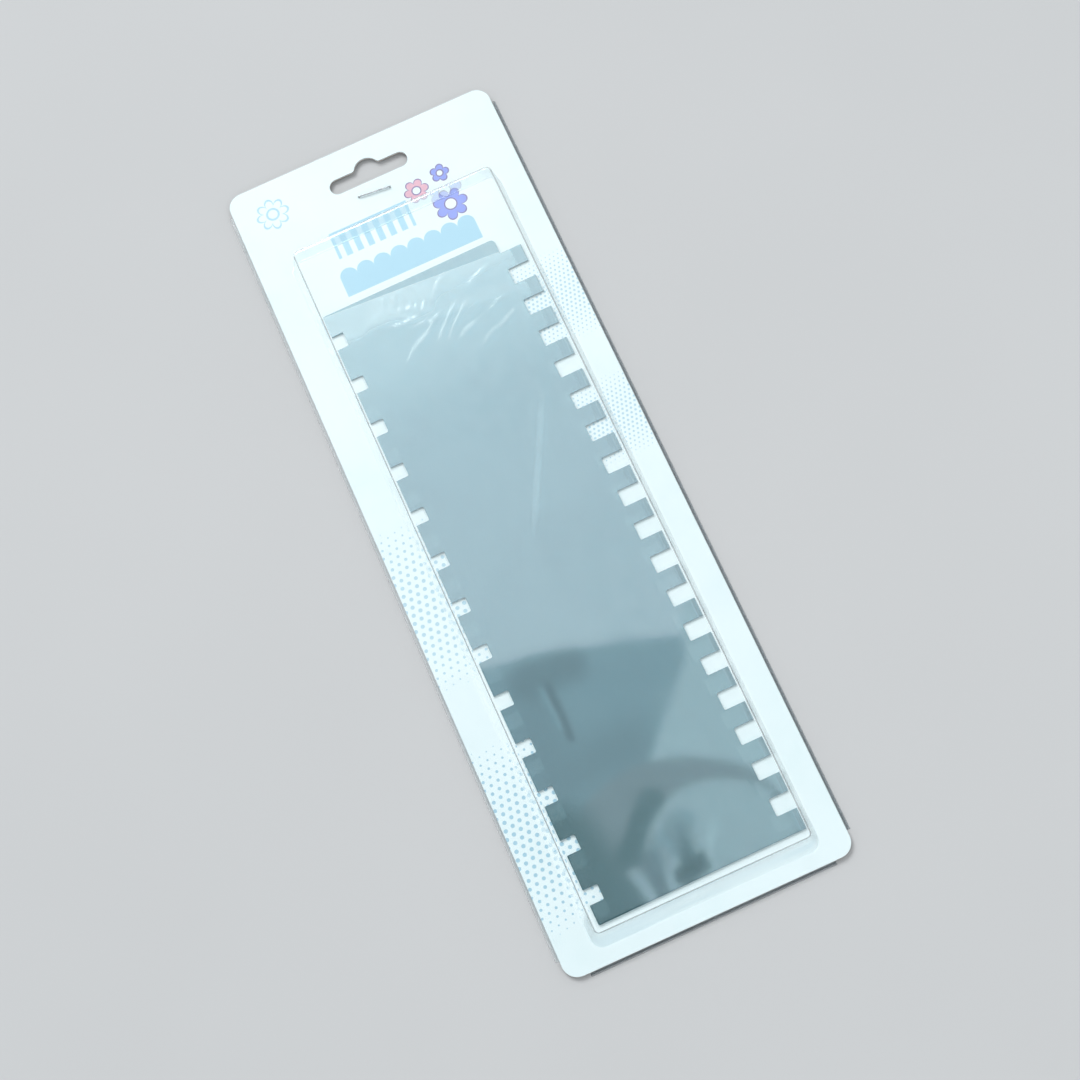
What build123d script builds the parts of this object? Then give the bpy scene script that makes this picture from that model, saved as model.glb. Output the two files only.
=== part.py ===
from build123d import *
import math
import os

# A double-edged icing comb in the slide blister pack that it is sold in, lying on its back.
# X runs across the card, +Y runs up to the hang slot and +Z points out of the bubble.
# The origin is the middle of the pack's outline, on the surface that the pack lies on.

# Comb blade: one stamped steel sheet with a different comb along each long edge.
blade_width = 70.0
blade_length = 220.0
blade_thickness = 0.6
blade_corner_radius = 0.5
blade_shoulder_radius = 1.5
notch_root_radius = 0.5
least_tooth = 2.0

# Square-toothed comb on the +X edge. Its last notch runs out at the blade's top corner.
coarse_pitch = 12.2
coarse_notch_height = 5.9
coarse_notch_depth = 7.4
coarse_first_tooth = 6.9

# Comb of small square notches on the -X edge.
fine_pitch = 16.7
fine_notch_height = 5.1
fine_notch_depth = 4.8
fine_first_tooth = 6.6

# Clear protective film on the blade's face, cut crooked along its top edge.
film_thickness = 0.08
film_side_inset = 0.3
film_end_inset = 0.4
film_short_of_teeth_top = 4.0
film_short_of_teeth_bottom = 1.0
film_top_slant = 4.8

# How the blade lies in the bubble: free all round, low down and leaning a little.
bubble_side_play = 2.6
bubble_end_play = 28.5
blade_rest_gap = 7.05
blade_rest_shift = 0.4
blade_lean = 0.57
blade_card_gap = 0.05

# Blister: one thermoformed sheet, a drafted bubble in a flat flange.
pet_thickness = 0.3
bubble_depth = 14.0
bubble_inset = 2.5
bubble_corner_radius = 4.0
bubble_top_fillet = 1.2
bubble_foot_fillet = 0.8

# Backing card and its margins round the bubble.
card_thickness = 0.6
card_corner_radius = 5.0
card_left_margin = 11.1
card_right_margin = 8.7
card_bottom_margin = 5.0
card_header = 32.25

# Flange folded round the card's left, right and bottom edges.
fold_bulge = 1.25
fold_return = 6.0
fold_setback = 2.0
card_under_gap = 0.3
card_over_gap = 0.1

# Hang slot, cut through card and flange together.
slot_length = 28.0
slot_height = 5.4
slot_drop = 12.4
slot_bump_radius = 4.6
slot_bump_rise = 3.0
slot_bump_fillet = 1.2

# Wire staple that locks the card in the blister.
staple_wire = 0.5
staple_length = 11.4
staple_clinch = 4.2
staple_bend_radius = 0.4
staple_drop = 19.7
staple_shift = -0.85
staple_turn = -6.4
staple_hole_clearance = 0.1
staple_back_gap = 0.05

# Every cut runs past the face that it opens by this much.
overrun = 2.0

# Heights of the layers, from the surface up.
card_back = pet_thickness + card_under_gap
card_face = card_back + card_thickness
flange_under = card_face + card_over_gap
flange_top = flange_under + pet_thickness
bubble_top = flange_top + bubble_depth
blade_under = card_face + blade_card_gap
film_under = blade_under + blade_thickness

# Plan sizes and places that follow from the ones above.
bubble_width = blade_width + 2 * bubble_side_play
bubble_length = blade_length + bubble_end_play
bubble_draft = math.degrees(math.atan2(bubble_inset, bubble_depth))
card_width = card_left_margin + bubble_width + card_right_margin
card_length = card_bottom_margin + bubble_length + card_header
pack_length = card_length + fold_bulge
card_top = pack_length / 2
card_bottom = card_top - card_length
card_middle = (card_top + card_bottom) / 2
bubble_low = card_bottom + card_bottom_margin
bubble_middle_x = -card_width / 2 + card_left_margin + bubble_width / 2
bubble_middle_y = bubble_low + bubble_length / 2
blade_middle_x = bubble_middle_x + blade_rest_shift
blade_middle_y = bubble_low + blade_rest_gap + blade_length / 2
slot_middle_y = card_top - slot_drop


def comb_notches(pitch, height, depth, first_tooth):
    """Cutters of one comb for the +X edge, on a blade whose middle is the origin."""
    cutters = Sketch()
    count = math.floor((blade_length - first_tooth) / pitch) + 1
    for number in range(count):
        foot = first_tooth + number * pitch
        head = foot + height
        if head > blade_length - least_tooth:
            head = blade_length + overrun
        across = depth + overrun
        cutter = RectangleRounded(across, head - foot, notch_root_radius)
        place = Pos(blade_width / 2 - depth + across / 2, (foot + head - blade_length) / 2)
        cutters += place * cutter
    return cutters


def blade_outline():
    """The blade's flat outline with both combs cut."""
    coarse = comb_notches(coarse_pitch, coarse_notch_height, coarse_notch_depth, coarse_first_tooth)
    fine = comb_notches(fine_pitch, fine_notch_height, fine_notch_depth, fine_first_tooth)
    outline = RectangleRounded(blade_width, blade_length, blade_corner_radius)
    outline = outline - coarse - mirror(fine, about=Plane.YZ)
    shoulder = (blade_width / 2 - coarse_notch_depth, blade_length / 2, 0)
    corner = outline.vertices().sort_by_distance(shoulder)[0]
    return fillet(corner, blade_shoulder_radius)


def film_outline():
    """The film's flat outline: its own four cut edges, pierced wherever the blade is notched."""
    left = -blade_width / 2 + film_side_inset
    low = -blade_length / 2 + film_end_inset
    high = blade_length / 2 - film_end_inset
    right_low = blade_width / 2 - film_short_of_teeth_bottom
    right_high = blade_width / 2 - film_short_of_teeth_top
    corners = [(left, low), (right_low, low), (right_high, high - film_top_slant), (left, high)]
    return make_face(Polyline(*corners, close=True)) & blade_outline()


def on_blade(height):
    """Place at which the blade lies in the bubble, at a given height."""
    return Pos(blade_middle_x, blade_middle_y, height) * Rot(0, 0, blade_lean)


def comb_blade():
    """Stamped stainless sheet with a comb along each long edge."""
    return on_blade(blade_under) * extrude(blade_outline(), blade_thickness)


def blade_film():
    """Thin clear film that protects the blade's face."""
    return on_blade(film_under) * extrude(film_outline(), film_thickness)


def card_outline():
    """Plan outline shared by the card and the blister's flange."""
    return Pos(0, card_middle) * RectangleRounded(card_width, card_length, card_corner_radius)


def hang_slot_outline():
    """Euro hang slot: a long slot with a round bump in the middle of its upper side."""
    slot = SlotOverall(slot_length, slot_height)
    bump = Pos(0, slot_height / 2 + slot_bump_rise - slot_bump_radius) * Circle(slot_bump_radius)
    bump = bump & Pos(0, slot_bump_radius) * Rectangle(2 * slot_bump_radius, 2 * slot_bump_radius)
    outline = slot + bump
    half_bump = math.sqrt(slot_bump_radius**2 - (slot_bump_radius - slot_bump_rise) ** 2)
    for side in (-1, 1):
        neck = outline.vertices().sort_by_distance((side * half_bump, slot_height / 2, 0))[0]
        outline = fillet(neck, slot_bump_fillet)
    return Pos(0, slot_middle_y) * outline


def staple_place():
    """Where the staple's crown sits on the pack."""
    return Pos(staple_shift, card_top - staple_drop, 0) * Rot(0, 0, staple_turn)


def staple_legs():
    """Half the distance between the two legs, from centre line to centre line."""
    return (staple_length - staple_wire) / 2


def sheet_cutouts():
    """Plan outlines cut through card and flange alike: the hang slot and both staple holes."""
    hole = Circle(staple_wire / 2 + staple_hole_clearance)
    holes = Pos(-staple_legs(), 0) * hole + Pos(staple_legs(), 0) * hole
    return hang_slot_outline() + staple_place() * holes


def backing_card():
    """Printed card that closes the bubble from behind."""
    return Pos(0, 0, card_back) * extrude(card_outline() - sheet_cutouts(), card_thickness)


def bubble_block(skin):
    """Solid block under the blister's outer skin, or under a skin set in by a wall."""
    slant = math.radians(bubble_draft)
    inset = skin / math.cos(slant) - skin * math.tan(slant)
    foot = flange_top - skin
    width = bubble_width - 2 * inset
    length = bubble_length - 2 * inset
    plan = RectangleRounded(width, length, bubble_corner_radius - inset)
    tub = Pos(0, 0, foot) * extrude(plan, bubble_depth, taper=bubble_draft)
    tub = fillet(tub.edges().group_by(Axis.Z)[-1], bubble_top_fillet - skin)
    spread = 2 * (bubble_foot_fillet + skin + overrun)
    base = RectangleRounded(width + spread, length + spread, bubble_corner_radius)
    block = tub + Pos(0, 0, foot - overrun) * extrude(base, overrun)
    # Level by level the edges are the base's lower rim, its uprights, and then all those at the foot.
    at_foot = block.edges().group_by(Axis.Z)[2]
    near_width = width + spread / 2
    near_length = length + spread / 2
    foot_line = at_foot.filter_by(lambda edge: in_plan(edge.center(), near_width, near_length))
    block = fillet(foot_line, bubble_foot_fillet + skin)
    return Pos(bubble_middle_x, bubble_middle_y, 0) * block


def in_plan(point, width, length):
    """True for a point over a plan of this width and length, centred on the origin."""
    return abs(point.X) < width / 2 and abs(point.Y) < length / 2


def channel_section(radius, leg):
    """Section of a folded edge: a disc with a straight leg that runs in under the card."""
    middle = flange_top / 2
    centre = fold_bulge - middle
    return Pos(centre, middle) * Circle(radius) + Pos(centre - leg / 2, middle) * Rectangle(leg, 2 * radius)


def edge_fold(run):
    """One folded edge. The card's cut edge is at x = 0 and the fold bulges towards +X."""
    outer_radius = flange_top / 2
    leg = fold_bulge - outer_radius + fold_return
    outer = channel_section(outer_radius, leg)
    inner = channel_section(outer_radius - pet_thickness, leg + overrun)
    return extrude(Plane.XZ * (outer - inner), run / 2, both=True)


def blister_shell():
    """Clear thermoformed sheet: bubble, flange and the three edges folded round the card."""
    flange = Pos(0, 0, flange_under) * extrude(card_outline(), pet_thickness)
    folds_stop = 2 * (card_corner_radius + fold_setback)
    side_fold = edge_fold(card_length - folds_stop)
    bottom_fold = edge_fold(card_width - folds_stop)
    shell = flange + Pos(card_width / 2, card_middle, 0) * side_fold
    shell += Pos(-card_width / 2, card_middle, 0) * Rot(0, 0, 180) * side_fold
    shell += Pos(0, card_bottom, 0) * Rot(0, 0, -90) * bottom_fold
    above_flange = bubble_block(0) & Pos(0, 0, flange_under) * extrude(card_outline(), bubble_top)
    shell += above_flange
    shell -= bubble_block(pet_thickness)
    return shell - Pos(0, 0, flange_under - overrun / 2) * extrude(sheet_cutouts(), pet_thickness + overrun)


def staple():
    """Wire staple: a crown on the flange and two legs clinched flat behind the card."""
    half = staple_legs()
    crown = flange_top + staple_wire / 2
    clinch = card_back - staple_back_gap - staple_wire / 2
    tip = half - staple_clinch
    route = [(-tip, clinch), (-half, clinch), (-half, crown), (half, crown), (half, clinch), (tip, clinch)]
    path = FilletPolyline(*[(x, 0, z) for x, z in route], radius=staple_bend_radius)
    section = Plane(origin=path @ 0, z_dir=path % 0) * Circle(staple_wire / 2)
    return staple_place() * sweep(section, path=path)


parts = {
    "blister_shell": blister_shell(),
    "backing_card": backing_card(),
    "comb_blade": comb_blade(),
    "blade_film": blade_film(),
    "staple": staple(),
}

os.makedirs("parts", exist_ok=True)
for name, shape in parts.items():
    export_step(shape, f"parts/{name}.step")
    print(name, "volume", round(shape.volume, 1), "mm3")
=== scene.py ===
# %% [markdown]
# # An icing comb in its slide blister pack
#
# The object is a flat steel comb for smoothing icing, still shut in the pack that it hangs in on a shop
# hook. The pack is a printed card, a clear formed sheet with a long bubble, and a wire staple. The
# shapes of all of these come from the construction model, so this file first loads that model as a
# fixed frame. What is left to do here is the finish of every surface, the wrinkled film on the steel,
# the light and the camera.

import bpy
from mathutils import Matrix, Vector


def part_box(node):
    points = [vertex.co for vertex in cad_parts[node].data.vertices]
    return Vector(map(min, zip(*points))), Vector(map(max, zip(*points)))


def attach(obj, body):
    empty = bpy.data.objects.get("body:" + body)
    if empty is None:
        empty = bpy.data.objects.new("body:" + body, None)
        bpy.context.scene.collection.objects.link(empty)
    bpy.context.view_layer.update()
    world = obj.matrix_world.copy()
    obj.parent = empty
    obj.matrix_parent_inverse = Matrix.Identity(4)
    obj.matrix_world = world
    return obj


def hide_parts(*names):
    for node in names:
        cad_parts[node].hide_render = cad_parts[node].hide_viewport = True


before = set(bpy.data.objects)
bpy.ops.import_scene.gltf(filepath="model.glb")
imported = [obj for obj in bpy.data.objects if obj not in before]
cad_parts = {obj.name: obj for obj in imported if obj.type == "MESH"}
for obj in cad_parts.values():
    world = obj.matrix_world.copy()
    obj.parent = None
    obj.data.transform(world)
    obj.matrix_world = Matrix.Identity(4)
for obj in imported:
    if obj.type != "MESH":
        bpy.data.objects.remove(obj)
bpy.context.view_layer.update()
print("pieces of the frame:", sorted(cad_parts))

# %% [markdown]
# ## Sizes that the finishes need
#
# Blender works in metres, and the pack is easier to think about in millimetres, so one name stands for
# the millimetre and every size is written with it. The heights of the layers are read from the frame,
# so a finish that belongs to one face of the card always finds that face.

# %% Millimetres, and the heights of the layers
import math

import bpy
import numpy as np

mm = 0.001
card_low, card_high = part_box("backing_card")
blade_low, blade_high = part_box("comb_blade")
print("card face at", round(card_high.z / mm, 2), "mm")
print("blade face at", round(blade_high.z / mm, 2), "mm")

# %% [markdown]
# ## Writing a finish as a formula
#
# A finish in Blender is a tree of nodes. A pattern such as a row of scallops takes dozens of Math
# nodes, which are hard to read one by one. A small class helps: a Field is one value that varies over
# the surface, and adding or multiplying two Fields puts the right Math node into the tree. The finishes
# below then read like formulas.

# %% A value that varies over a surface
class Field:
    """One output socket of a node tree. Arithmetic on it adds a Math node to that tree."""

    def __init__(self, tree, socket):
        self.tree = tree
        self.socket = socket

    def math(self, operation, *others, node_type="ShaderNodeMath", output=0):
        node = self.tree.nodes.new(node_type)
        node.operation = operation
        for place, value in enumerate((self, *others)):
            plug(self.tree, value, node.inputs[place])
        return Field(self.tree, node.outputs[output])

    def vector_math(self, operation, *others, output="Vector"):
        return self.math(operation, *others, node_type="ShaderNodeVectorMath", output=output)

    def __add__(self, other):
        return self.math("ADD", other)

    def __sub__(self, other):
        return self.math("SUBTRACT", other)

    def __mul__(self, other):
        return self.math("MULTIPLY", other)

    def __truediv__(self, other):
        return self.math("DIVIDE", other)

    def __pow__(self, other):
        return self.math("POWER", other)

    def most(self, other):
        return self.math("MAXIMUM", other)

    def least(self, other):
        return self.math("MINIMUM", other)

    def size(self):
        return self.math("ABSOLUTE")

    def rise(self, start, end):
        """0 up to start, 1 from end on, and a smooth step between them. It falls if end is lower."""
        node = self.tree.nodes.new("ShaderNodeMapRange")
        node.interpolation_type = "SMOOTHSTEP"
        falls = not isinstance(start, Field) and start > end
        ends = (end, start, 1.0, 0.0) if falls else (start, end, 0.0, 1.0)
        for place, value in enumerate((self, *ends)):
            plug(self.tree, value, node.inputs[place])
        return Field(self.tree, node.outputs[0])


def plug(tree, value, socket):
    """Feeds a Field into a socket, or sets the socket to a plain value."""
    if isinstance(value, Field):
        tree.links.new(value.socket, socket)
    else:
        socket.default_value = value


def invert(mask):
    """1 where the mask is 0, and 0 where it is 1."""
    return mask * -1.0 + 1.0


# %% [markdown]
# Next come the nodes that aren't arithmetic: where a point is, noise, a mix of two colours and a bump.
# Colours are written as the 0 to 255 values that a picture shows, and turned into the linear values
# that light needs.

# %% Places, noise, colours and bumps
def place_on_piece(tree):
    """Object coordinates of the piece. They are the frame's own coordinates, in metres."""
    return Field(tree, tree.nodes.new("ShaderNodeTexCoord").outputs["Object"])


def split(vector):
    """The three coordinates of a vector."""
    node = vector.tree.nodes.new("ShaderNodeSeparateXYZ")
    plug(vector.tree, vector, node.inputs[0])
    return [Field(vector.tree, output) for output in node.outputs]


def join(x, y, z):
    """A vector from three coordinates."""
    tree = x.tree
    node = tree.nodes.new("ShaderNodeCombineXYZ")
    for place, value in enumerate((x, y, z)):
        plug(tree, value, node.inputs[place])
    return Field(tree, node.outputs[0])


def stretched(vector, factors):
    """The vector with each coordinate multiplied by its own factor."""
    node = vector.tree.nodes.new("ShaderNodeMapping")
    plug(vector.tree, vector, node.inputs["Vector"])
    node.inputs["Scale"].default_value = factors
    return Field(vector.tree, node.outputs[0])


def noise(vector, grain, detail=2.0):
    """Smooth noise from 0 to 1, with blotches about one grain across."""
    node = vector.tree.nodes.new("ShaderNodeTexNoise")
    plug(vector.tree, vector, node.inputs["Vector"])
    node.inputs["Scale"].default_value = 1.0 / grain
    node.inputs["Detail"].default_value = detail
    return Field(vector.tree, node.outputs[0])


def ink(red, green, blue):
    """A colour as a picture shows it, from 0 to 255, turned into linear light."""
    linear = []
    for value in (red, green, blue):
        share = value / 255
        linear.append(share / 12.92 if share <= 0.04045 else ((share + 0.055) / 1.055) ** 2.4)
    return (*linear, 1.0)


def blend_colours(mask, under, over):
    """The colour over where the mask is 1, and the colour under where it is 0."""
    node = mask.tree.nodes.new("ShaderNodeMix")
    node.data_type = "RGBA"
    plug(mask.tree, mask, node.inputs["Factor"])
    plug(mask.tree, under, node.inputs[6])
    plug(mask.tree, over, node.inputs[7])
    return Field(mask.tree, node.outputs[2])


def bump(height, depth):
    """A normal that makes a height from 0 to 1 look this deep, in metres."""
    node = height.tree.nodes.new("ShaderNodeBump")
    node.inputs["Distance"].default_value = depth
    plug(height.tree, height, node.inputs["Height"])
    return Field(height.tree, node.outputs[0])


# %% [markdown]
# An effect that several finishes share is a node group, so that it is built once. A group has named
# sockets, and each finish places it with its own values. Two such groups follow.
#
# - Grain is fine noise that can be drawn out along one direction: the fibres of board, the roll marks
#   of sheet steel and the drawing marks of wire are all grain.
# - Handling marks are large soft patches broken up by smaller ones, as fingers and sliding leave on
#   glossy sheet.

# %% Shared node groups
VECTOR = "NodeSocketVector"
NUMBER = "NodeSocketFloat"


def start_group(name, inputs, outputs, gives=NUMBER):
    """A new node group with these sockets, the Fields of its inputs by name, and its output node."""
    group = bpy.data.node_groups.new(name, "ShaderNodeTree")
    for label, (kind, value) in inputs.items():
        socket = group.interface.new_socket(label, in_out="INPUT", socket_type=kind)
        if value is not None:
            socket.default_value = value
    for label in outputs:
        group.interface.new_socket(label, in_out="OUTPUT", socket_type=gives)
    arriving = group.nodes.new("NodeGroupInput")
    leaving = group.nodes.new("NodeGroupOutput")
    fields = {label: Field(group, arriving.outputs[label]) for label in inputs}
    return group, fields, leaving


def use_group(group, **values):
    """Places the group in the tree of the Fields that feed it, and gives its outputs by name."""
    tree = next(value.tree for value in values.values() if isinstance(value, Field))
    node = tree.nodes.new("ShaderNodeGroup")
    node.node_tree = group
    for label, value in values.items():
        plug(tree, value, node.inputs[label.replace("_", " ")])
    return {output.name: Field(tree, output) for output in node.outputs}


def make_grain_group():
    """Noise at two sizes, the finer half as strong, on a vector divided by the grain's size."""
    sockets = {"Vector": (VECTOR, None), "Across": (NUMBER, 0.3 * mm), "Along": (NUMBER, 0.3 * mm)}
    group, fields, leaving = start_group("grain", sockets, ["Height"])
    x, y, z = split(fields["Vector"])
    drawn_marks_and_painted_shade = join(x / fields["Across"], y / fields["Along"], z / fields["Across"])
    coarse = noise(drawn_marks_and_painted_shade, 1.0, detail=1.0)
    fine = noise(drawn_marks_and_painted_shade, 0.4, detail=1.0)
    plug(group, coarse * 0.67 + fine * 0.33, leaving.inputs["Height"])
    return group


def make_marks_group():
    """Soft patches: large noise times small noise, lifted so that half of the surface stays clean."""
    sockets = {"Vector": (VECTOR, None), "Patch": (NUMBER, 30 * mm)}
    group, fields, leaving = start_group("handling marks", sockets, ["Mask"])
    x, y, z = split(fields["Vector"])
    spread = join(x / fields["Patch"], y / fields["Patch"], z / fields["Patch"])
    large = noise(spread, 1.0, detail=2.0).rise(0.42, 0.68)
    small = noise(spread, 0.17, detail=4.0).rise(0.3, 0.75)
    plug(group, large * small, leaving.inputs["Mask"])
    return group


grain = make_grain_group()
handling_marks = make_marks_group()
print("shared groups:", grain.name, "and", handling_marks.name)

# %% [markdown]
# Each finish starts from the Principled shader that Blender puts into a new material. Values that are
# the same all over the surface are set on the shader's own sockets.

# %% Start a finish and put it on a piece
def start_finish(name, **constants):
    """A material and its Principled shader, with constants such as IOR set on the shader itself."""
    material = bpy.data.materials.new(name)
    material.use_nodes = True
    shader = material.node_tree.nodes["Principled BSDF"]
    for label, value in constants.items():
        shader.inputs[label.replace("_", " ")].default_value = value
    return material, shader


def put_on(piece, material):
    """Gives every face of the piece this material."""
    if not piece.material_slots:
        piece.data.materials.append(material)
    for slot in piece.material_slots:
        slot.material = material


# %% [markdown]
# ## The print on the card
#
# The card is white board with a pale blue, violet and pink print on its face, under a clear varnish.
# A picture file would need a flat layout and would blur close up, so the print is drawn by formulas of
# the place on the card. Every motif is a mask: 1 where there is ink and 0 where there is none.
#
# The halftone is a lattice of dots whose rows are half a step apart. The distance to the nearest dot is
# the smaller of the distances in two square lattices, one shifted by half a step. The darker the tone,
# the larger the dot, as in any printed screen.

# %% Halftone dots
print_softness = 0.06 * mm


def make_halftone_group():
    """Dots on a lattice with rows half a step apart. A dot's radius grows with the root of the tone."""
    sockets = {
        "X": (NUMBER, 0.0),
        "Y": (NUMBER, 0.0),
        "Step": (NUMBER, 2 * mm),
        "Tone": (NUMBER, 1.0),
        "Widest": (NUMBER, 0.5 * mm),
    }
    group, fields, leaving = start_group("halftone dots", sockets, ["Ink"])
    step = fields["Step"]
    row = step * math.sqrt(3)
    distances = []
    for shift in (0.0, 0.5):
        across = ((fields["X"] / step + shift).math("FRACT") - 0.5) * step
        along = ((fields["Y"] / row + shift).math("FRACT") - 0.5) * row
        distances.append((across * across + along * along) ** 0.5)
    nearest = distances[0].least(distances[1])
    radius = fields["Widest"] * (fields["Tone"].most(0.0) ** 0.5)
    plug(group, (radius - nearest).rise(-print_softness, print_softness), leaving.inputs["Ink"])
    return group


halftone_dots = make_halftone_group()


def turned(x, y, degrees):
    """The coordinates of a point, read along axes that are turned by an angle."""
    cosine = math.cos(math.radians(degrees))
    sine = math.sin(math.radians(degrees))
    return x * cosine + y * sine, y * cosine - x * sine


def halftone_patch(x, y, middle, reach, step, widest, turn):
    """Dots that are largest at one height of the card and fade out within reach above and below."""
    from_middle = (y - middle) / reach
    tone = invert(from_middle * from_middle)
    x, y = turned(x, y, turn)
    return use_group(halftone_dots, X=x, Y=y, Step=step, Tone=tone, Widest=widest)["Ink"]


# %% [markdown]
# The decoration at the head of the card is generic. Two bands have the edges of combs: one with square
# teeth, and one with scallops, as a comb leaves them in icing. Icing rosettes of three sizes stand at
# the right ends of the bands, and a ring of petals stands by itself at the left.
#
# A rosette is drawn in polar coordinates: its edge is a circle whose radius swells into a round petal
# and drops back to a notch, once per petal. A band is a box whose lower or upper edge goes up and down.

# %% Rosettes and comb-edged bands
def make_rosette_group():
    """Petals inside radius * (0.6 + 0.4 |cos(petals * angle / 2)|^0.6), their outline, and a heart."""
    sockets = {
        "X": (NUMBER, 0.0),
        "Y": (NUMBER, 0.0),
        "Radius": (NUMBER, 5 * mm),
        "Petals": (NUMBER, 6.0),
        "Line": (NUMBER, 0.4 * mm),
    }
    group, fields, leaving = start_group("rosette", sockets, ["Petal", "Outline", "Heart"])
    x = fields["X"]
    y = fields["Y"]
    distance = (x * x + y * y) ** 0.5
    angle = y.math("ARCTAN2", x)
    petal = (angle * fields["Petals"] * 0.5).math("COSINE").size() ** 0.6
    edge = fields["Radius"] * (petal * 0.4 + 0.6)
    inside = edge - distance
    heart = fields["Radius"] * 0.34 - distance
    half_line = fields["Line"] * 0.5
    rim = half_line - (inside - half_line).size()
    ring = half_line - heart.size()
    plug(group, inside.rise(-print_softness, print_softness), leaving.inputs["Petal"])
    plug(group, rim.most(ring).rise(-print_softness, print_softness), leaving.inputs["Outline"])
    plug(group, heart.rise(-print_softness, print_softness), leaving.inputs["Heart"])
    return group


rosette = make_rosette_group()


def box_mask(x, y, width, height):
    """1 inside a box centred on the origin."""
    inside = (x.size() * -1.0 + width / 2).least(y.size() * -1.0 + height / 2)
    return inside.rise(-print_softness, print_softness)


half_tooth = 0.27
tooth_softness = 0.02


def toothed_band(x, y, width, height, teeth):
    """A box whose lower half is cut into square teeth. Half a tooth is half_tooth of its pitch."""
    tooth = ((x / (width / teeth)).math("FRACT") - 0.5).size() * -1.0 + half_tooth
    gap = invert(tooth.rise(-tooth_softness, tooth_softness))
    return box_mask(x, y, width, height) * invert(gap * y.rise(0.0, -print_softness))


def scalloped_band(x, y, width, height, scallops):
    """A box whose upper edge is a row of half circles."""
    share = ((x / (width / scallops)).math("FRACT") - 0.5) * 2.0
    bow = (invert(share * share).most(0.0)) ** 0.5
    edge = bow * (width / scallops / 2) + (height / 2 - width / scallops / 2)
    return box_mask(x, y, width, height) * (edge - y).rise(-print_softness, print_softness)


# %% [markdown]
# ## The card
#
# The card is bleached on its face, grey-brown inside and plain grey-white behind, which shows at its
# cut edges. One material does all three, because a point's height tells which layer it is in. The face
# has a faint cyan cast, as the photograph shows it, and a trace of fibre under the varnish.

# %% Finish of the card
card_white = ink(236, 251, 254)
card_core = ink(168, 152, 144)
card_back = ink(205, 208, 206)
pale_blue = ink(172, 218, 238)
dot_blue = ink(168, 208, 226)
dot_pale_blue = ink(184, 219, 233)
violet_line = ink(120, 106, 160)
petal_violet = ink(140, 158, 236)
petal_pink = ink(228, 178, 196)
skin = 0.05 * mm

print_side = (22 * mm, 28 * mm)
fine_screen = {"step": 1.6 * mm, "widest": 0.42 * mm, "turn": 12}
coarse_screen = {"step": 2.7 * mm, "widest": 0.68 * mm, "turn": 15}
band_height = 10 * mm
toothed_place = (-6.7 * mm, 111.5 * mm)
scalloped_place = (1.2 * mm, 97.6 * mm)
ring_place = (-34.8 * mm, 131.7 * mm)
rosettes = [
    # across, along and radius in millimetres, petals, colour
    (20.5, 108.5, 6.0, 7.0, petal_violet),
    (12.0, 118.0, 4.4, 6.0, petal_pink),
    (21.5, 120.5, 3.4, 5.0, petal_violet),
]


def print_halftone(x, y, paper):
    """Fine dots in two patches at the right side, and coarse dots in two patches at the left."""
    right = x.rise(*print_side)
    left = x.rise(*(-edge for edge in print_side))
    fine = halftone_patch(x, y, middle=62 * mm, reach=17 * mm, **fine_screen)
    fine = fine.most(halftone_patch(x, y, middle=16 * mm, reach=15 * mm, **fine_screen))
    middle = halftone_patch(x, y, middle=-16 * mm, reach=29 * mm, **coarse_screen)
    low = halftone_patch(x, y, middle=-97 * mm, reach=32 * mm, **coarse_screen)
    colour = blend_colours((fine * right).most(middle * left), paper, dot_pale_blue)
    return blend_colours(low * left, colour, dot_blue)


def print_bands(x, y, colour):
    """The two bands and the ring of petals, in pale blue."""
    x_across = x - toothed_place[0]
    y_along = y - toothed_place[1]
    bands = toothed_band(x_across, y_along, width=28 * mm, height=band_height, teeth=7)
    x_across = x - scalloped_place[0]
    y_along = y - scalloped_place[1]
    scalloped = scalloped_band(x_across, y_along, width=48.5 * mm, height=band_height, scallops=8)
    colour = blend_colours(bands.most(scalloped), colour, pale_blue)
    ring = use_group(rosette, X=x - ring_place[0], Y=y - ring_place[1], Radius=5.8 * mm,
                     Petals=8.0, Line=0.7 * mm)
    return blend_colours(ring["Outline"], colour, pale_blue)


def print_rosettes(x, y, colour):
    """Each rosette: filled petals, a heart of bare card, and the outlines over both."""
    for across, along, radius, petals, fill in rosettes:
        flower = use_group(rosette, X=x - across * mm, Y=y - along * mm, Radius=radius * mm,
                           Petals=petals)
        colour = blend_colours(flower["Petal"], colour, fill)
        colour = blend_colours(flower["Heart"], colour, card_white)
        colour = blend_colours(flower["Outline"], colour, violet_line)
    return colour


def make_card_finish():
    """Printed face, raw core and plain back, chosen by height, with fibre in the bump."""
    material, shader = start_finish("coated card", Coat_Weight=0.1, Coat_Roughness=0.12)
    tree = material.node_tree
    here = place_on_piece(tree)
    x, y, z = split(here)
    fibre = use_group(grain, Vector=here, Across=0.25 * mm, Along=0.5 * mm)["Height"]
    cloud = noise(here, 40 * mm)
    paper = blend_colours(cloud.rise(0.3, 0.7), card_white, ink(233, 249, 252))
    face = print_rosettes(x, y, print_bands(x, y, print_halftone(x, y, paper)))
    raw = blend_colours(fibre.rise(0.35, 0.65), card_core, ink(190, 178, 170))
    plain = blend_colours(fibre.rise(0.35, 0.65), card_back, ink(196, 199, 198))
    colour = blend_colours(z.rise(card_high.z - skin, card_high.z - skin / 2), raw, face)
    colour = blend_colours(z.rise(card_low.z + skin, card_low.z + skin / 2), colour, plain)
    plug(tree, colour, shader.inputs["Base Color"])
    plug(tree, fibre * 0.08 + 0.36, shader.inputs["Roughness"])
    plug(tree, bump(fibre, 0.006 * mm), shader.inputs["Normal"])
    return material


put_on(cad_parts["backing_card"], make_card_finish())
print("card finished, face", round((card_high.x - card_low.x) / mm, 1), "mm wide")
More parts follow.
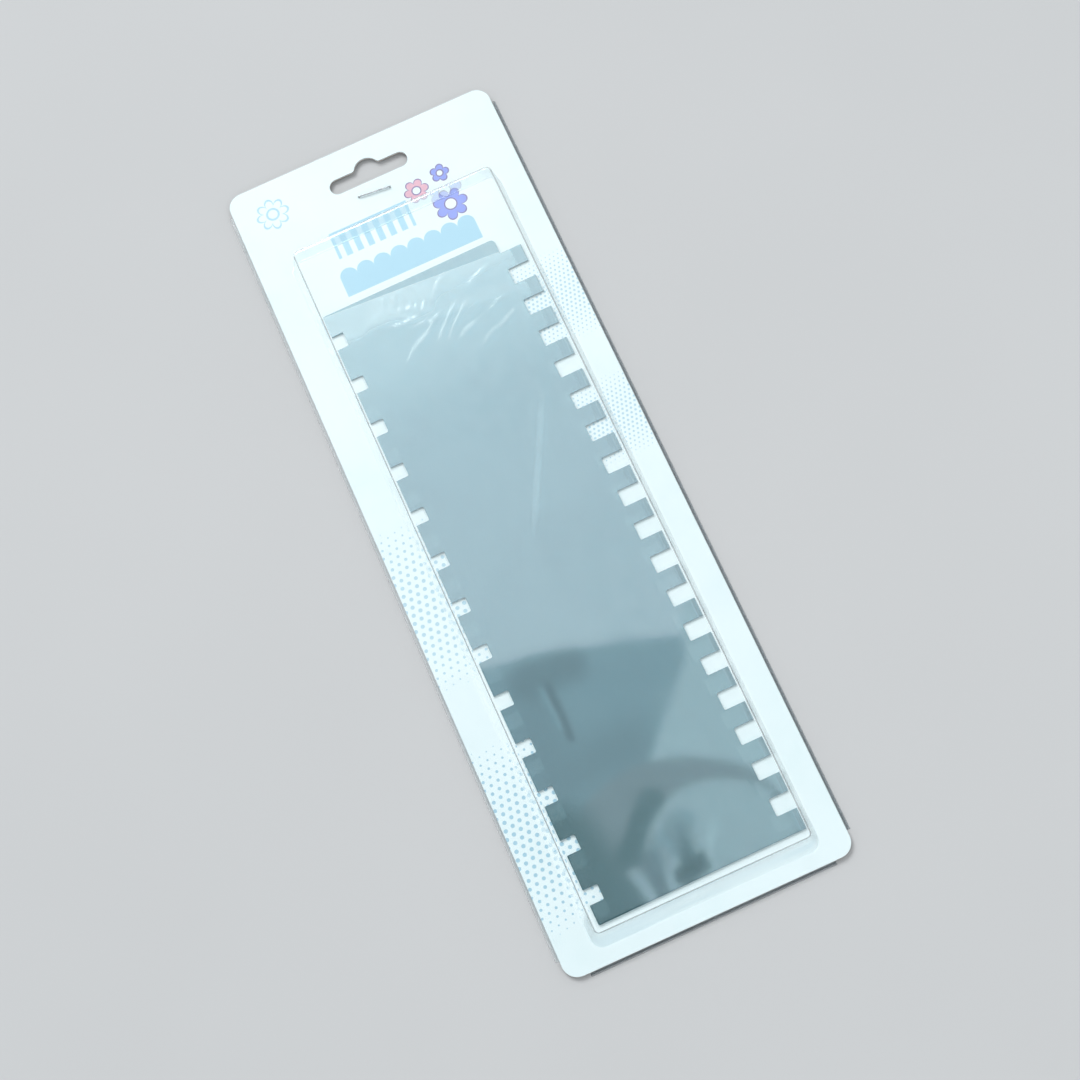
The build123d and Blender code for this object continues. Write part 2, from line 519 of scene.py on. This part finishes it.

# %% [markdown]
# ## The steel of the comb
#
# The blade is cold-rolled stainless sheet: nearly a mirror, but with fine roll marks along its length
# and a very slight waviness that bends what it reflects. The marks are grain drawn out along the blade,
# in the colour and in the roughness. The waviness is a bump far wider than deep, because a flat mirror
# is what gives a computer-made sheet of steel away. The cut edges are rougher, since a punch shears
# them. Their darker colour is partly the dull shear face and partly painted shade, which draws dark
# lines along the edges of the notches.

# %% Finish of the steel blade
def make_steel_finish():
    """Bright rolled sheet with roll marks, faint waves and smudges, and rough, dull cut edges in
    painted shade.
    """
    material, shader = start_finish("rolled steel", Metallic=1.0)
    tree = material.node_tree
    here = place_on_piece(tree)
    x, y, z = split(here)
    rolled = use_group(grain, Vector=here, Across=0.22 * mm, Along=9 * mm)["Height"]
    smudge = use_group(handling_marks, Vector=here, Patch=34 * mm)["Mask"]
    top = z.rise(blade_high.z - skin, blade_high.z - skin / 2)
    bottom = z.rise(blade_low.z + skin, blade_low.z + skin / 2)
    shear_face_and_painted_shade = invert(top.most(bottom))
    colour = blend_colours(rolled.rise(0.3, 0.7), ink(194, 224, 234), ink(200, 228, 237))
    colour = blend_colours(smudge * 0.35, colour, ink(188, 214, 224))
    # The cut edges are darker: partly their dull shear face, partly painted shade along the notch
    # edges.
    colour = blend_colours(shear_face_and_painted_shade, colour, ink(176, 190, 194))
    plug(tree, colour, shader.inputs["Base Color"])
    plug(tree, rolled * 0.01 + smudge * 0.04 + shear_face_and_painted_shade * 0.3 + 0.02, shader.inputs["Roughness"])
    waves = noise(stretched(here, (1.0, 0.6, 1.0)), 28 * mm, detail=0.0)
    plug(tree, bump(waves, 0.01 * mm), shader.inputs["Normal"])
    return material


put_on(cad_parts["comb_blade"], make_steel_finish())
print("blade finished,", round((blade_high.y - blade_low.y) / mm, 1), "mm long as it lies")

# %% [markdown]
# ## The film on the blade
#
# A clear film protects the steel's face. It was laid on by hand, so it is cut crooked at the top, lifts
# there, and is creased in a fan that spreads from the lifted corner. Flat film would only tint the
# steel. The creases are what shows that it is there, so the film gets a mesh of its own in place of the
# frame's plain sheet.
#
# A cloth simulation could crumple it, but then the creases would fall anywhere. Here the film is a
# height over a grid: a sum of low swells and of ridges, each along its own bowed line. The grid's lines
# run through the edges of all notches, so that the cells over a notch can be left out and the cut comes
# out straight.

# %% Where the film lies
blade_width = 70 * mm
blade_length = 220 * mm
blade_middle = np.array([1.6 * mm, -20.2 * mm])
blade_lean = math.radians(0.57)
coarse_comb = {"pitch": 12.2 * mm, "height": 5.9 * mm, "depth": 7.4 * mm, "first": 6.9 * mm}
fine_comb = {"pitch": 16.7 * mm, "height": 5.1 * mm, "depth": 4.8 * mm, "first": 6.6 * mm}
film_left = -blade_width / 2 + 0.3 * mm
film_low = -blade_length / 2 + 0.4 * mm
film_high = blade_length / 2 - 0.4 * mm
film_right_low = blade_width / 2 - 1.0 * mm
film_right_high = blade_width / 2 - 4.0 * mm
film_slant = 4.8 * mm
film_thickness = 0.04 * mm
film_gap = 0.02 * mm
film_step = 1.1 * mm
crease_step = 0.5 * mm
creased_from = 70 * mm
top_rows = 10


def notch_edges(comb):
    """The lower and upper edges of a comb's notches, measured from the blade's middle."""
    count = math.floor((blade_length - comb["first"]) / comb["pitch"]) + 1
    feet = comb["first"] + comb["pitch"] * np.arange(count) - blade_length / 2
    return feet, feet + comb["height"]


def lines_through(stops, fine_from):
    """Grid lines through every stop, in even steps that are shorter past fine_from."""
    stops = np.unique(np.round(stops, 7))
    runs = []
    for a, b in zip(stops, stops[1:]):
        step = crease_step if b > fine_from else film_step
        runs.append(np.linspace(a, b, math.ceil((b - a) / step) + 1)[:-1])
    return np.append(np.concatenate(runs), stops[-1])


# %% [markdown]
# The creases are listed each as a start, an end, how far it bows, how wide it is and how high.
# They are in millimetres from the blade's lower left corner.

# %% Creases of the film
creases = [
    # from x, y   to x, y   bow  width height
    (17, 208, 32, 207, -2.2, 1.1, 0.18),
    (18, 206, 27, 206, -1.2, 0.9, 0.16),
    (20, 204, 34, 205, -1.6, 0.9, 0.16),
    (24, 201, 34, 203, -0.3, 1.0, 0.24),
    (18, 190, 37, 203, 1.2, 1.3, 0.27),
    (24, 193, 31, 199, 0.3, 0.9, 0.17),
    (27, 195, 36, 204, 0.3, 0.9, 0.21),
    (31, 192, 43, 205, 0.8, 1.1, 0.26),
    (33, 190, 47, 204, 1.0, 1.1, 0.28),
    (34, 189, 40, 196, 0.4, 0.8, 0.17),
    (37, 191, 48, 195, 1.2, 1.1, 0.27),
    (40, 190, 46, 196, 0.4, 0.8, 0.16),
    (43, 197, 49, 202, 0.4, 1.1, 0.20),
    (44, 186, 52, 191, 0.3, 1.1, 0.26),
    (51, 189, 60, 194, 0.2, 1.1, 0.23),
    (50, 196, 58, 200, 0.4, 1.0, 0.18),
    (24, 211, 34, 205, 0.6, 1.0, 0.18),
    (28.5, 209, 29.6, 212, 0.0, 0.6, 0.16),
    (30, 208.5, 31, 210.5, 0.0, 0.6, 0.16),
    (32.2, 207.5, 33.6, 210, 0.0, 0.6, 0.16),
    (20, 212, 21.5, 217, 0.2, 0.7, 0.18),
    (24, 212, 26, 217, 0.4, 0.7, 0.16),
    (36, 208, 44, 216, 0.8, 1.4, 0.18),
    (46, 206, 58, 212, 0.8, 1.4, 0.18),
    (63, 184, 66, 190, 0.0, 0.9, 0.18),
    (32, 118, 56, 168, 1.0, 2.4, 0.40),
]


def crease_height(x, y, start_x, start_y, end_x, end_y, bow, width, height):
    """A ridge: height * exp(-(distance across / width)^2), fading to nothing at both of its ends."""
    run = np.hypot(end_x - start_x, end_y - start_y)
    way_x = (end_x - start_x) / run
    way_y = (end_y - start_y) / run
    along = ((x - start_x) * way_x + (y - start_y) * way_y) / run
    arch = np.clip(4 * along * (1 - along), 0, 1)
    across = (y - start_y) * way_x - (x - start_x) * way_y - bow * arch
    return height * np.exp(-((across / width) ** 2)) * np.sqrt(arch)


def bell(x, y, middle, reach):
    """1 at the middle, falling as exp(-r^2), with r measured in the reach along X and along Y."""
    return np.exp(-(((x - middle[0]) / reach[0]) ** 2) - ((y - middle[1]) / reach[1]) ** 2)


swell_height = 0.02
lift_height = 0.5
lift_corner = (14, 222)
lift_reach = (26, 15)
crumple_height = 0.08
crumpled_middle = (26, 212)
crumpled_reach = (11, 5)


def film_height(x, y):
    """Height of the film over the steel: low swells, the creases, crumples, and the lifted corner.

    Swells and crumples are products of two sines, each bent by a slower one. The numbers that
    divide x and y are the lengths of these waves, in millimetres over two pi.
    """
    swells = 1 + np.sin(x / 9 + np.sin(y / 17) * 1.7) * np.sin(y / 21 + 0.6 + np.cos(x / 13))
    lift = bell(x, y, lift_corner, lift_reach)
    wrinkled = np.sin(x / 0.55 + 1.3 * np.sin(y / 2.3)) * np.sin(y / 1.4 + 1.7 * np.sin(x / 3.1))
    crumples = bell(x, y, crumpled_middle, crumpled_reach) * wrinkled
    ridges = sum(crease_height(x, y, *crease) for crease in creases)
    return swell_height * swells + lift_height * lift + crumple_height * crumples + ridges


# %% [markdown]
# The film's outline is slanted at the right and at the top, so the last columns and the last rows of
# the grid are stretched to meet it. Everything is worked out as whole arrays: first the places, then
# which cells stay.

# %% Build the film
def film_grid():
    """Plan places of the grid's points and a mask of the cells that stay, by row and column."""
    coarse_feet, coarse_heads = notch_edges(coarse_comb)
    fine_feet, fine_heads = notch_edges(fine_comb)
    corner_notch = coarse_feet[-1]
    stops = [[film_low, corner_notch], coarse_feet, coarse_heads[:-1], fine_feet, fine_heads]
    rows = lines_through(np.concatenate(stops), fine_from=creased_from)
    left_root = -blade_width / 2 + fine_comb["depth"]
    right_root = blade_width / 2 - coarse_comb["depth"]
    stops = [film_left, left_root, right_root, film_right_low]
    columns = lines_through(stops, fine_from=film_left)
    # Past the last notch, a row's place is its share of the way up to the slanted top edge.
    up_to_top = np.linspace(0, 1, top_rows + 1)[1:]
    x, y = np.meshgrid(columns, np.concatenate([rows, corner_notch + up_to_top]))
    slope = (film_right_high - film_right_low) / (film_high - film_slant - film_low)
    edge_x = film_right_low + slope * (np.minimum(y, corner_notch) - film_low)
    beyond_root = (x - right_root) / (film_right_low - right_root)
    x = np.where(x > right_root, right_root + beyond_root * (edge_x - right_root), x)
    top_edge = film_high - film_slant * (x - film_left) / (film_right_high - film_left)
    share = np.maximum(y - corner_notch, 0)
    y = np.where(y > corner_notch, corner_notch + share * (top_edge - corner_notch), y)
    middle_x = (x[:-1, :-1] + x[1:, 1:]) / 2
    middle_y = (y[:-1, :-1] + y[1:, 1:]) / 2
    in_coarse = ((middle_y[..., None] > coarse_feet) & (middle_y[..., None] < coarse_heads)).any(-1)
    in_fine = ((middle_y[..., None] > fine_feet) & (middle_y[..., None] < fine_heads)).any(-1)
    cut = (in_coarse & (middle_x > right_root)) | (in_fine & (middle_x < left_root))
    return x, y, ~cut


def keep_rim_sharp(mesh):
    """Marks the edges that belong to one face only, so that the film's cut rim shades as sharp."""
    edge_of_corner = np.empty(len(mesh.loops), np.int32)
    mesh.loops.foreach_get("edge_index", edge_of_corner)
    faces_at_edge = np.bincount(edge_of_corner, minlength=len(mesh.edges))
    sharp = mesh.attributes.new("sharp_edge", "BOOLEAN", "EDGE")
    sharp.data.foreach_set("value", faces_at_edge == 1)


def film_mesh():
    """A sheet of quads over the kept cells, at the film's height above the steel."""
    x, y, kept = film_grid()
    height = film_height(x / mm + blade_width / 2 / mm, y / mm + blade_length / 2 / mm) * mm
    cosine = math.cos(blade_lean)
    sine = math.sin(blade_lean)
    points = np.stack([
        blade_middle[0] + x * cosine - y * sine,
        blade_middle[1] + x * sine + y * cosine,
        blade_high.z + film_gap + height,
    ], axis=-1)
    number = np.arange(x.size).reshape(x.shape)
    corners = [number[:-1, :-1], number[:-1, 1:], number[1:, 1:], number[1:, :-1]]
    quads = np.stack(corners, axis=-1)[kept]
    used = np.unique(quads)
    renumber = np.zeros(x.size, int)
    renumber[used] = np.arange(used.size)
    mesh = bpy.data.meshes.new("protective_film")
    mesh.from_pydata(points.reshape(-1, 3)[used].tolist(), [], renumber[quads].tolist())
    mesh.polygons.foreach_set("use_smooth", np.ones(len(mesh.polygons), bool))
    keep_rim_sharp(mesh)
    width = x[:-1, 1:] - x[:-1, :-1]
    length = y[1:, :-1] - y[:-1, :-1]
    return mesh, float((width * length)[kept].sum())


film_surface, film_area = film_mesh()
film = bpy.data.objects.new("protective_film", film_surface)
bpy.context.scene.collection.objects.link(film)
wall = film.modifiers.new("thickness", "SOLIDIFY")
wall.thickness = film_thickness
wall.offset = 1.0
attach(film, "blade")
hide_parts("blade_film")
print("film:", len(film_surface.polygons), "cells,", round(film_area * 1e4, 1), "square centimetres")

# %% [markdown]
# ## Clear plastic
#
# The film and the formed sheet are both clear plastic, so both let light through as glass does. Real
# glass would keep lamps from what lies behind it, because a straight ray to a lamp can't be bent
# through it. So rays that go to lamps, and rays that leave a matt surface, pass straight through
# instead. The eye still sees bent light and reflections.

# %% Let lamps through clear plastic
def open_to_lamps(material, shader):
    """Mixes in a Transparent shader, for shadow rays and for rays that leave matt surfaces."""
    tree = material.node_tree
    path = tree.nodes.new("ShaderNodeLightPath")
    clear = tree.nodes.new("ShaderNodeBsdfTransparent")
    last = shader.outputs[0]
    for ray in ("Is Diffuse Ray", "Is Shadow Ray"):
        mix = tree.nodes.new("ShaderNodeMixShader")
        tree.links.new(path.outputs[ray], mix.inputs[0])
        tree.links.new(last, mix.inputs[1])
        tree.links.new(clear.outputs[0], mix.inputs[2])
        last = mix.outputs[0]
    tree.links.new(last, tree.nodes["Material Output"].inputs["Surface"])


# %% [markdown]
# The film is soft and milky. Where it clings to the steel it nearly vanishes, as wet film on glass
# does, so its cover is low there. One long crease shows as a pale streak, which is painted sheen: the
# cover is raised along it. A pale line runs where the film lets go of the steel. Above that line there
# is air under it, and the nearer to its loose upper edge, the more it covers. Towards the upper left it
# is gathered into small crumples that catch the light one by one. The line and the loose part have
# ragged edges. A film this thin doesn't shift what lies behind it, so its body hardly bends light, and
# its gloss is a coat.

# %% Finish of the film
raggedness = 3 * mm
let_go_from = 73.6 * mm
let_go_slope = 0.14
hump_middle = -15.4 * mm
hump_half = 8 * mm
hump_height = 3.5 * mm
loose_from = 76.9 * mm
loose_slope = 0.06
gathered_middle = (-8 * mm, 83 * mm)
gathered_reach = (15 * mm, 10 * mm)
streak_middle = (10.6 * mm, 12.8 * mm)
streak_turn = 63.4
streak_fade_across = (1.8 * mm, 0.2 * mm)
streak_fade_along = (29 * mm, 12 * mm)
clinging_cover = 0.09


def film_cover(x, y, ragged, gathered):
    """How far the film is let go, and its cover: the share of light that it keeps from the steel."""
    hump = (x - hump_middle) / hump_half
    past_line = y + x * let_go_slope - let_go_from + ragged
    past_line = past_line - invert(hump * hump).most(0.0) * hump_height
    let_go = past_line.rise(-2.5 * mm, 2.5 * mm)
    line = let_go * past_line.rise(6 * mm, 2 * mm)
    loose = (y - x * loose_slope - loose_from + ragged).rise(-2 * mm, 8 * mm)
    towards_head = y.rise(40 * mm, 72 * mm)
    # Painted sheen: the cover is raised along one long crease, so that it shows as a pale streak.
    along, across = turned(x - streak_middle[0], y - streak_middle[1], streak_turn)
    crease_painted_sheen = across.size().rise(*streak_fade_across) * along.size().rise(*streak_fade_along)
    cover = towards_head * 0.17 + let_go * 0.15 + line * 0.12 + loose * 0.35 + gathered * 0.14
    return let_go, (cover + crease_painted_sheen * 0.16 + clinging_cover).least(1.0)


def make_film_finish():
    """Milky film that covers least where it clings, more where it is loose, most where crumpled."""
    material, shader = start_finish("soft clear film", Transmission_Weight=0.5, IOR=1.01,
                                    Coat_Weight=1.0, Coat_IOR=1.48, Coat_Roughness=0.1)
    tree = material.node_tree
    here = place_on_piece(tree)
    x, y, z = split(here)
    marks = use_group(handling_marks, Vector=here, Patch=18 * mm)["Mask"]
    ragged = noise(here, 7 * mm) * raggedness - raggedness / 2
    gathered_x = (x - gathered_middle[0]) / gathered_reach[0]
    gathered_y = (y - gathered_middle[1]) / gathered_reach[1]
    gathered = (gathered_x * gathered_x + gathered_y * gathered_y).rise(1.0, 0.2)
    let_go, cover = film_cover(x, y, ragged, gathered)
    crumple = noise(stretched(here, (1.0, 0.45, 1.0)), 2.2 * mm)
    colour = blend_colours(marks, ink(231, 250, 254), ink(225, 245, 250))
    plug(tree, colour, shader.inputs["Base Color"])
    plug(tree, cover, shader.inputs["Alpha"])
    plug(tree, marks * 0.03 + let_go * 0.05 + 0.02, shader.inputs["Roughness"])
    plug(tree, bump(crumple * gathered, 0.14 * mm), shader.inputs["Normal"])
    open_to_lamps(material, shader)
    return material


put_on(film, make_film_finish())

# %% [markdown]
# The formed sheet is harder and glossier. Heat and the mould leave it faintly uneven, so its highlights
# wander, and a few rub marks dull it where packs slide past each other in a box. Its wall at the foot
# is greyed in streaks with painted shade, and its folds at the card's edges are greyed with a painted
# dark reflection.

# %% Finish of the blister
bubble_depth = 14 * mm
bubble_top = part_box("blister_shell")[1].z
flange_top = bubble_top - bubble_depth
foot_wall = (-125 * mm, -130 * mm)
side_wall = (30 * mm, 35 * mm)
fold_width = 0.4 * mm


def make_blister_finish():
    """Hard clear plastic, uneven from the mould, streaky at its walls, with painted shade at foot and
    folds.
    """
    material, shader = start_finish("clear formed sheet", Transmission_Weight=1.0, IOR=1.5)
    tree = material.node_tree
    here = place_on_piece(tree)
    x, y, z = split(here)
    rubbed = use_group(handling_marks, Vector=here, Patch=42 * mm)["Mask"]
    uneven = noise(stretched(here, (1.0, 0.5, 1.0)), 14 * mm, detail=1.0)
    height_share = (z - flange_top) / bubble_depth
    drawn_down = height_share.rise(0.0, 0.03) * height_share.rise(0.98, 0.92)
    at_foot = y.rise(*foot_wall)
    wall = drawn_down * at_foot.most(x.rise(*side_wall))
    # Painted dark reflection: the folds at the card's edges are greyed, as if dark surroundings showed
    # in them.
    fold_painted_dark = x.rise(card_high.x, card_high.x + fold_width)
    fold_painted_dark = fold_painted_dark.most(y.rise(card_low.y, card_low.y - fold_width))
    streaks = noise(stretched(here, (0.1, 0.1, 1.0)), 4 * mm)
    colour = blend_colours(rubbed, ink(250, 253, 254), ink(246, 251, 252))
    # Painted shade: the wall at the foot is greyed in streaks, for the shade that the wall throws
    # there.
    drawn_marks_and_painted_shade = blend_colours(streaks.rise(0.35, 0.65), ink(220, 231, 236), ink(240, 246, 248))
    colour = blend_colours(drawn_down * at_foot, colour, drawn_marks_and_painted_shade)
    colour = blend_colours(fold_painted_dark, colour, ink(196, 202, 205))
    plug(tree, colour, shader.inputs["Base Color"])
    plug(tree, rubbed * 0.03 + wall * streaks * 0.2 + 0.01, shader.inputs["Roughness"])
    plug(tree, bump(uneven + wall * streaks, 0.012 * mm), shader.inputs["Normal"])
    open_to_lamps(material, shader)
    return material


put_on(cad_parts["blister_shell"], make_blister_finish())
print("clear pieces: the film and the blister, bubble", round(bubble_depth / mm, 1), "mm deep")

# %% [markdown]
# ## The staple
#
# The staple is galvanised wire. Its zinc is softer and greyer than the blade's steel, with marks drawn
# along the wire and dull spots. The crown runs across the card, so its grain is drawn out along X.

# %% Finish of the staple
def make_staple_finish():
    """Drawn zinc-coated wire with dull spots."""
    material, shader = start_finish("zinc wire", Metallic=1.0)
    tree = material.node_tree
    here = place_on_piece(tree)
    x, y, z = split(here)
    drawn_marks_and_painted_shade = use_group(grain, Vector=join(y, x, z), Across=0.08 * mm, Along=2 * mm)["Height"]
    dull = noise(here, 0.9 * mm).rise(0.45, 0.7)
    colour = blend_colours(dull, ink(196, 202, 206), ink(150, 156, 160))
    plug(tree, colour, shader.inputs["Base Color"])
    plug(tree, drawn_marks_and_painted_shade * 0.12 + dull * 0.14 + 0.2, shader.inputs["Roughness"])
    plug(tree, bump(drawn_marks_and_painted_shade, 0.015 * mm), shader.inputs["Normal"])
    return material


put_on(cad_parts["staple"], make_staple_finish())

# %% [markdown]
# ## Floor
#
# The pack lies on a plain pale floor, which catches its shadow. It is a little greyer than the card, so
# that the card's white edge stands out from it, and it runs far out, so that low views don't see its
# end close behind the pack.

# %% Lay the floor
floor_half = 6.0
floor_drop = 0.2 * mm
floor_signs = [(-1, -1), (1, -1), (1, 1), (-1, 1)]
floor_corners = [(x * floor_half, y * floor_half, -floor_drop) for x, y in floor_signs]
floor_mesh = bpy.data.meshes.new("floor")
floor_mesh.from_pydata(floor_corners, [], [(0, 1, 2, 3)])
floor = bpy.data.objects.new("floor", floor_mesh)
bpy.context.scene.collection.objects.link(floor)


def make_floor_finish():
    """Pale matt board with a barely uneven tone."""
    material, shader = start_finish("pale floor", Roughness=0.7)
    tree = material.node_tree
    cloud = noise(place_on_piece(tree), 120 * mm)
    colour = blend_colours(cloud, ink(196, 199, 201), ink(201, 204, 206))
    plug(tree, colour, shader.inputs["Base Color"])
    return material


put_on(floor, make_floor_finish())

# %% [markdown]
# ## Light
#
# Steel shows the room more than it shows itself. The room here is a soft pale sky that is a little
# darker towards the horizon, which draws the walls of the bubble as grey lines. Straight overhead
# stands whoever takes the picture. The lower part of the blade reflects that as soft dark shapes, and
# the upper part reflects bright sky.
#
# The sky is a formula of the direction. Dividing a direction by its height gives where it meets a flat
# ceiling, and the blade is a flat mirror, so every place on the blade shows its own place on that
# ceiling. The shapes are therefore given by where the blade shows them, and the mirror's law turns that
# into a place on the ceiling. A shape is a rounded stroke from one point to another, or a disc where
# both are the same. Each is painted over those before it, with its own share of the sky's light in each
# colour.

# %% One stroke on the ceiling
def make_stroke_group():
    """Light, replaced by another colour around the straight way between two points, softly."""
    sockets = {label: (VECTOR, None) for label in ("Place", "Start", "Way", "Colour", "Light")}
    for label in ("Length squared", "Inner", "Outer"):
        sockets[label] = (NUMBER, 1.0)
    group, fields, leaving = start_group("stroke", sockets, ["Light"], gives=VECTOR)
    offset = fields["Place"].vector_math("SUBTRACT", fields["Start"])
    along = offset.vector_math("DOT_PRODUCT", fields["Way"], output="Value") / fields["Length squared"]
    nearest = along.most(0.0).least(1.0)
    on_way = fields["Way"].vector_math("MULTIPLY", nearest)
    distance = offset.vector_math("DISTANCE", on_way, output="Value")
    outside = distance.rise(fields["Inner"], fields["Outer"])
    change = fields["Light"].vector_math("SUBTRACT", fields["Colour"])
    light = change.vector_math("MULTIPLY_ADD", outside, fields["Colour"])
    plug(group, light, leaving.inputs["Light"])
    return group


stroke = make_stroke_group()

# %% [markdown]
# The strokes follow the shapes that the photographed blade reflects. First come the
# ceiling right overhead, which is a little dimmer than the rest, and a large dark disc. Then come the
# darker and lighter shapes over them. They are in millimetres from the blade's lower left corner. What
# stands in the light has a colour of its own, from a deep blue-green to one that is nearly grey.

# %% Strokes on the ceiling
airy = (0.97, 0.98, 1.0)
pale = (0.90, 0.99, 1.0)
misty = (0.90, 0.97, 1.0)
teal = (0.72, 0.93, 1.0)
deep = (0.54, 0.97, 1.0)

strokes = [
    # from x, y   to x, y   radius soft  share of light and colour
    (42, -185, 42, -185, 370, 18.0, 0.93, airy),
    (-27, -133, -27, -133, 222, 1.1, 0.52, teal),
    (8, 57, 12, 76, 6.5, 5.0, 0.42, teal),
    (11, 78, 25, 77, 5.5, 3.5, 0.35, teal),
    (10, 46, 32, 46, 8.0, 8.0, 0.40, teal),
    (66, 13, 86, 34, 40.0, 1.5, 0.79, pale),
    (74, 57, 77, 68, 16.0, 1.5, 0.79, pale),
    (15.2, 60, 15.0, 74, 0.6, 0.5, 0.62, teal),
    (17.2, 56, 17.2, 74, 1.2, 0.5, 0.24, teal),
    (31, 0, 31, 0, 39.6, 1.1, 0.40, misty),
    (1, 28, 8, 4, 11.0, 6.0, 0.20, deep),
    (18, 15, 31, 28, 4.0, 0.8, 0.195, deep),
    (44, 3, 44, 3, 24.0, 1.1, 0.73, pale),
    (27, 11, 36, 17, 4.0, 2.0, 0.53, teal),
    (21.5, -2, 24, 12, 2.6, 0.8, 0.28, teal),
    (19.5, -2, 17.2, 10, 1.6, 0.9, 0.74, misty),
    (26.5, -2, 29.0, 12, 1.4, 0.8, 0.70, misty),
    (31, 3, 37, 4, 3.2, 0.8, 0.14, deep),
    (33.5, 7, 34.8, 15, 2.0, 0.8, 0.16, deep),
    (40.5, 4, 44.5, 12, 1.1, 0.7, 1.03, pale),
    (49, 8, 49, 8, 4.0, 1.5, 0.71, pale),
]

# %% [markdown]
# The ceiling is one metre up and its places are in centimetres. A step of one centimetre there moves
# the reflection on the blade by a little over seven millimetres, because the camera and the ceiling are
# at different distances.

# %% The sky
sky_strength = 0.8
horizon_share = 0.9
horizon_band = 0.3
full_climb = 0.85
ceiling_height = 100.0
least_up = 0.01
least_way_squared = 1e-6
wobble = 0.3
wobble_grain = 2.5
far_side = (26.0, 55.0)
far_gain = 0.3
near_margin = 1.0
mirror_middle = (12.2, -125.9)
mirror_step = 7.4
white = (1.0, 1.0, 1.0)


def on_ceiling(x, y):
    """The place on the ceiling, in centimetres, that a place on the blade reflects to the camera."""
    return (x - mirror_middle[0]) / mirror_step, (y - mirror_middle[1]) / mirror_step, 0.0


def paint_strokes(place):
    """The ceiling's light at a place, from white through all strokes one after the other."""
    light = white
    for from_x, from_y, to_x, to_y, radius, soft, share, tint in strokes:
        start = on_ceiling(from_x, from_y)
        way = tuple(b - a for a, b in zip(start, on_ceiling(to_x, to_y)))
        painted = use_group(
            stroke,
            Place=place,
            Start=start,
            Way=way,
            Length_squared=max(way[0] ** 2 + way[1] ** 2, least_way_squared),
            Light=light,
            Colour=tuple(share * part for part in tint),
            Inner=(radius - soft) / mirror_step,
            Outer=(radius + soft) / mirror_step,
        )
        light = painted["Light"]
    return light


def near_strokes(place):
    """1 within the first stroke, which holds all the others, and 0 outside it."""
    x, y, to_x, to_y, radius, soft = strokes[0][:6]
    reach = (radius + soft) / mirror_step + near_margin
    return place.vector_math("DISTANCE", on_ceiling(x, y), output="Value").math("LESS_THAN", reach)


def make_sky():
    """Light by direction: darker at the horizon, brighter beyond the head, with the strokes.

    The strokes fade out near the horizon, where the ceiling would be endlessly far away. Outside
    the first stroke a plain Background takes over, so that most rays skip the strokes.
    """
    world = bpy.data.worlds.new("studio")
    bpy.context.scene.world = world
    world.use_nodes = True
    tree = world.node_tree
    direction = Field(tree, tree.nodes.new("ShaderNodeTexCoord").outputs["Generated"])
    dx, dy, dz = split(direction)
    up = dz.most(least_up)
    across = dx / up * ceiling_height
    along = dy / up * ceiling_height
    shift = noise(join(across, along, 0.0), wobble_grain, detail=0.0) * wobble - wobble / 2
    place = join(across + shift, along + shift, 0.0)
    above_horizon = dz.rise(0.0, horizon_band)
    light = paint_strokes(place).vector_math("MAXIMUM", invert(above_horizon))
    climb = dz.rise(0.0, full_climb) * (1 - horizon_share) + horizon_share
    beyond_head = (along.rise(*far_side) * far_gain - far_gain / 2) * above_horizon + 1.0
    brightness = climb * beyond_head * sky_strength
    shaped = tree.nodes["Background"]
    plain = tree.nodes.new("ShaderNodeBackground")
    plug(tree, light, shaped.inputs["Color"])
    plug(tree, (*white, 1.0), plain.inputs["Color"])
    for background in (shaped, plain):
        plug(tree, brightness, background.inputs["Strength"])
    mix = tree.nodes.new("ShaderNodeMixShader")
    plug(tree, near_strokes(place), mix.inputs[0])
    tree.links.new(plain.outputs[0], mix.inputs[1])
    tree.links.new(shaped.outputs[0], mix.inputs[2])
    tree.links.new(mix.outputs[0], tree.nodes["World Output"].inputs["Surface"])


make_sky()

# %% [markdown]
# One lamp stands for the window that the photograph's light comes from, beyond the head of the pack and
# a little to the left. It is far away, so that the foot of the pack gets nearly as much light as its
# head. It draws thin shadows under the upper edges of the notches, and it glints in the film's creases.
# A second lamp, close and very weak, stands beyond the foot and to the right. It gives the foot the
# light that a pale room would throw back onto it.

# %% The lamps
def add_lamp(name, place, power, size):
    """A square soft lamp that looks at the pack."""
    data = bpy.data.lights.new(name, "AREA")
    data.energy = power
    data.size = size
    lamp = bpy.data.objects.new(name, data)
    lamp.location = place
    x, y, z = place
    lamp.rotation_euler = (math.atan2(math.hypot(x, y), z), 0, math.atan2(y, x) + math.pi / 2)
    bpy.context.scene.collection.objects.link(lamp)


add_lamp("window", (-1.0, 3.9, 3.9), power=155.0, size=2.6)
add_lamp("light from the room", (0.55, -0.8, 0.8), power=1.1, size=0.5)

# %% [markdown]
# ## Camera
#
# The camera stands above the foot of the pack and looks down, turned so that the pack runs from the
# upper left to the lower right of the picture. Its place and angles were found by fitting the corners
# of the pack.

# %% The camera
camera_data = bpy.data.cameras.new("camera")
camera_data.lens = 82.2
camera_data.sensor_width = 36.0
camera = bpy.data.objects.new("camera", camera_data)
camera.location = (-21.2 * mm, -256.1 * mm, 741.7 * mm)
camera.rotation_euler = [math.radians(angle) for angle in (17.359, 6.047, -23.675)]
bpy.context.scene.collection.objects.link(camera)
bpy.context.scene.camera = camera
bpy.context.scene.view_settings.view_transform = "Standard"
